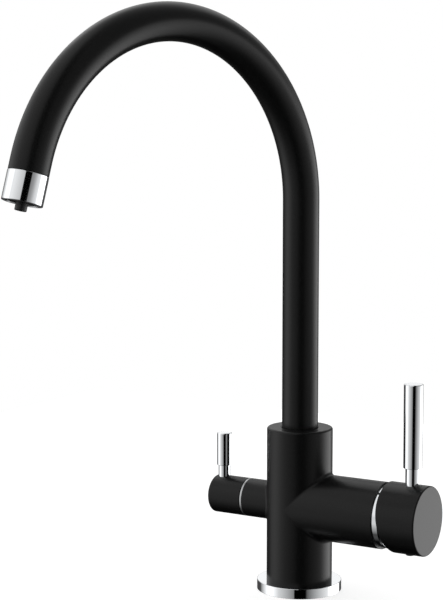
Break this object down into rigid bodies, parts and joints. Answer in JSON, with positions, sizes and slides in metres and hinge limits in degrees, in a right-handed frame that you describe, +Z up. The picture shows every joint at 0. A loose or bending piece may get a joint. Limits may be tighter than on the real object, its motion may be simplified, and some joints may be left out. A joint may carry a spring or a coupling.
{
  "type": "kitchen mixer tap",
  "caption": "Deck-mounted kitchen mixer tap in matt black with a swan-neck swivel spout, a side mixer lever and a smaller side lever for filtered water.",
  "frame": {"origin": "middle of the base on the deck, at the mouth of the stud hole", "axes": "+Z up along the body, +X along the mixer arm, -Y to the front"},
  "size_m": [0.1696, 0.2664, 0.3953],
  "materials": {
    "black_coating": "matt black textured coating",
    "chrome_plate": "bright chrome plate",
    "turned_brass": "turned",
    "steel": "turned",
    "white_plastic": "moulded",
    "ceramic": "lapped ceramic",
    "black_rubber": "moulded",
    "hose_plastic": "extruded",
    "black_plastic": "moulded"
  },
  "bodies": {
    "root": {"body": "black_coating", "base_ring": "chrome_plate", "base_gasket": "black_rubber", "spout_retaining_screw": "steel", "spout_glide_ring": "white_plastic", "cartridge_base": "white_plastic", "cartridge_port_seals": "black_rubber", "cartridge_fixed_disc": "ceramic", "cartridge_housing": "white_plastic", "cartridge_nut": "turned_brass", "cartridge_cover_ring": "chrome_plate", "filter_trim_ring": "steel", "filter_valve_body": "turned_brass", "filter_seat_seal": "black_rubber", "filter_fixed_disc": "ceramic"},
    "spout": {"spout_tube": "black_coating", "spout_spigot": "turned_brass", "spout_o_rings": "black_rubber", "stub_o_ring": "black_rubber", "filter_hose": "hose_plastic", "outlet_adapter": "turned_brass", "aerator_housing": "chrome_plate", "aerator_insert": "black_plastic", "aerator_seal": "black_rubber", "filter_nozzle": "black_plastic"},
    "mixer_rotor": {"cartridge_rotor": "white_plastic", "cartridge_pivot_pin": "steel"},
    "mixer_handle": {"mixer_handle_cap": "black_coating", "cartridge_stem": "turned_brass", "mixer_lever": "chrome_plate", "mixer_grub_screw": "steel", "mixer_screw_plug": "black_plastic"},
    "mixer_disc": {"disc_carrier": "white_plastic", "cartridge_moving_disc": "ceramic"},
    "filter_handle": {"filter_knob": "black_coating", "filter_spindle": "turned_brass", "filter_moving_disc": "ceramic", "filter_spindle_o_ring": "black_rubber", "filter_circlip": "steel", "filter_lever": "chrome_plate", "filter_grub_screw": "steel"}
  },
  "joints": [
    {"name": "spout_swivel", "type": "hinge", "parent": "root", "child": "spout", "pos_m": [0, 0, 0.1128], "axis": [0, 0, 1], "continuous": true},
    {"name": "mixer_temperature", "type": "hinge", "parent": "root", "child": "mixer_rotor", "pos_m": [0.0585, 0, 0.059], "axis": [1, 0, 0], "range_deg": [-45, 45]},
    {"name": "mixer_flow", "type": "hinge", "parent": "mixer_rotor", "child": "mixer_handle", "pos_m": [0.0585, 0, 0.059], "axis": [0, 1, 0], "range_deg": [0, 25]},
    {"name": "disc_slide", "type": "slide", "parent": "mixer_rotor", "child": "mixer_disc", "axis": [0, 0, 1], "range_m": [0, 0.0032]},
    {"name": "filter_turn", "type": "hinge", "parent": "root", "child": "filter_handle", "pos_m": [-0.05, 0, 0.059], "axis": [1, 0, 0], "range_deg": [0, 90]}
  ],
  "couplings": [
    {"joint": "disc_slide", "follows": "mixer_flow", "m_per_rad": 0.00707}
  ]
}
